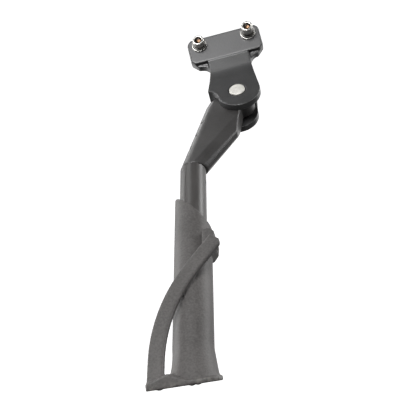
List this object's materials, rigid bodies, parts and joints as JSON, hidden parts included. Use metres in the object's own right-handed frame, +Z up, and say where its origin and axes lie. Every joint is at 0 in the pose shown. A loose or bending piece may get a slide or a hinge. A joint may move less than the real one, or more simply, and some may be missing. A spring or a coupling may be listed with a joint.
{
  "type": "bicycle kickstand",
  "caption": "Folding side stand for a bicycle, with a two-bolt rear mounting plate, a spring detent at the pivot and a length-adjustable foot.",
  "frame": {"origin": "middle of the two mounting bolts, on the face that lies against the bicycle", "axes": "+Z up with the bicycle upright, +X to the rear of the bicycle, +Y inboard towards the wheel and along the bolts"},
  "size_m": [0.1253, 0.1356, 0.2764],
  "materials": {
    "bracket_paint": "satin black coating over die-cast aluminium",
    "arm_paint": "satin black coating over die-cast aluminium",
    "tube_paint": "satin black coating over drawn tube",
    "screw_steel": "bright zinc plate, dark inside the socket",
    "washer_steel": "bright zinc plate",
    "rivet_steel": "turned head, bare steel",
    "hardened_steel": "ground and oiled",
    "spring_steel": "oiled",
    "bush_bronze": "sintered",
    "nylon": "natural nylon",
    "plug_plastic": "moulded",
    "foot_plastic": "fine spark-eroded mould texture",
    "lock_steel": "black oxide"
  },
  "bodies": {
    "bracket": {"mount_bracket": "bracket_paint", "front_mount_bolt": "screw_steel", "rear_mount_bolt": "screw_steel", "front_flat_washer": "washer_steel", "rear_flat_washer": "washer_steel", "front_spring_washer": "washer_steel", "rear_spring_washer": "washer_steel", "pivot_rivet": "rivet_steel", "rivet_washer": "washer_steel", "detent_cam": "hardened_steel"},
    "leg": {"leg_arm": "arm_paint", "outer_pivot_bush": "bush_bronze", "inner_pivot_bush": "bush_bronze", "outer_thrust_washer": "nylon", "inner_thrust_washer": "nylon", "detent_plunger": "hardened_steel", "detent_spring": "spring_steel", "leg_tube": "tube_paint", "tube_pin": "spring_steel", "tube_plug": "plug_plastic"},
    "foot": {"foot": "foot_plastic", "lock_screw": "lock_steel", "lock_nut": "washer_steel"}
  },
  "joints": [
    {"name": "leg_fold", "type": "hinge", "parent": "bracket", "child": "leg", "pos_m": [0, -0.0064, -0.0556], "axis": [0, -0.9135, 0.4067], "range_deg": [0, 100]},
    {"name": "foot_extension", "type": "slide", "parent": "leg", "child": "foot", "axis": [-0.1374, -0.4029, -0.9049], "range_m": [0, 0.05]}
  ]
}
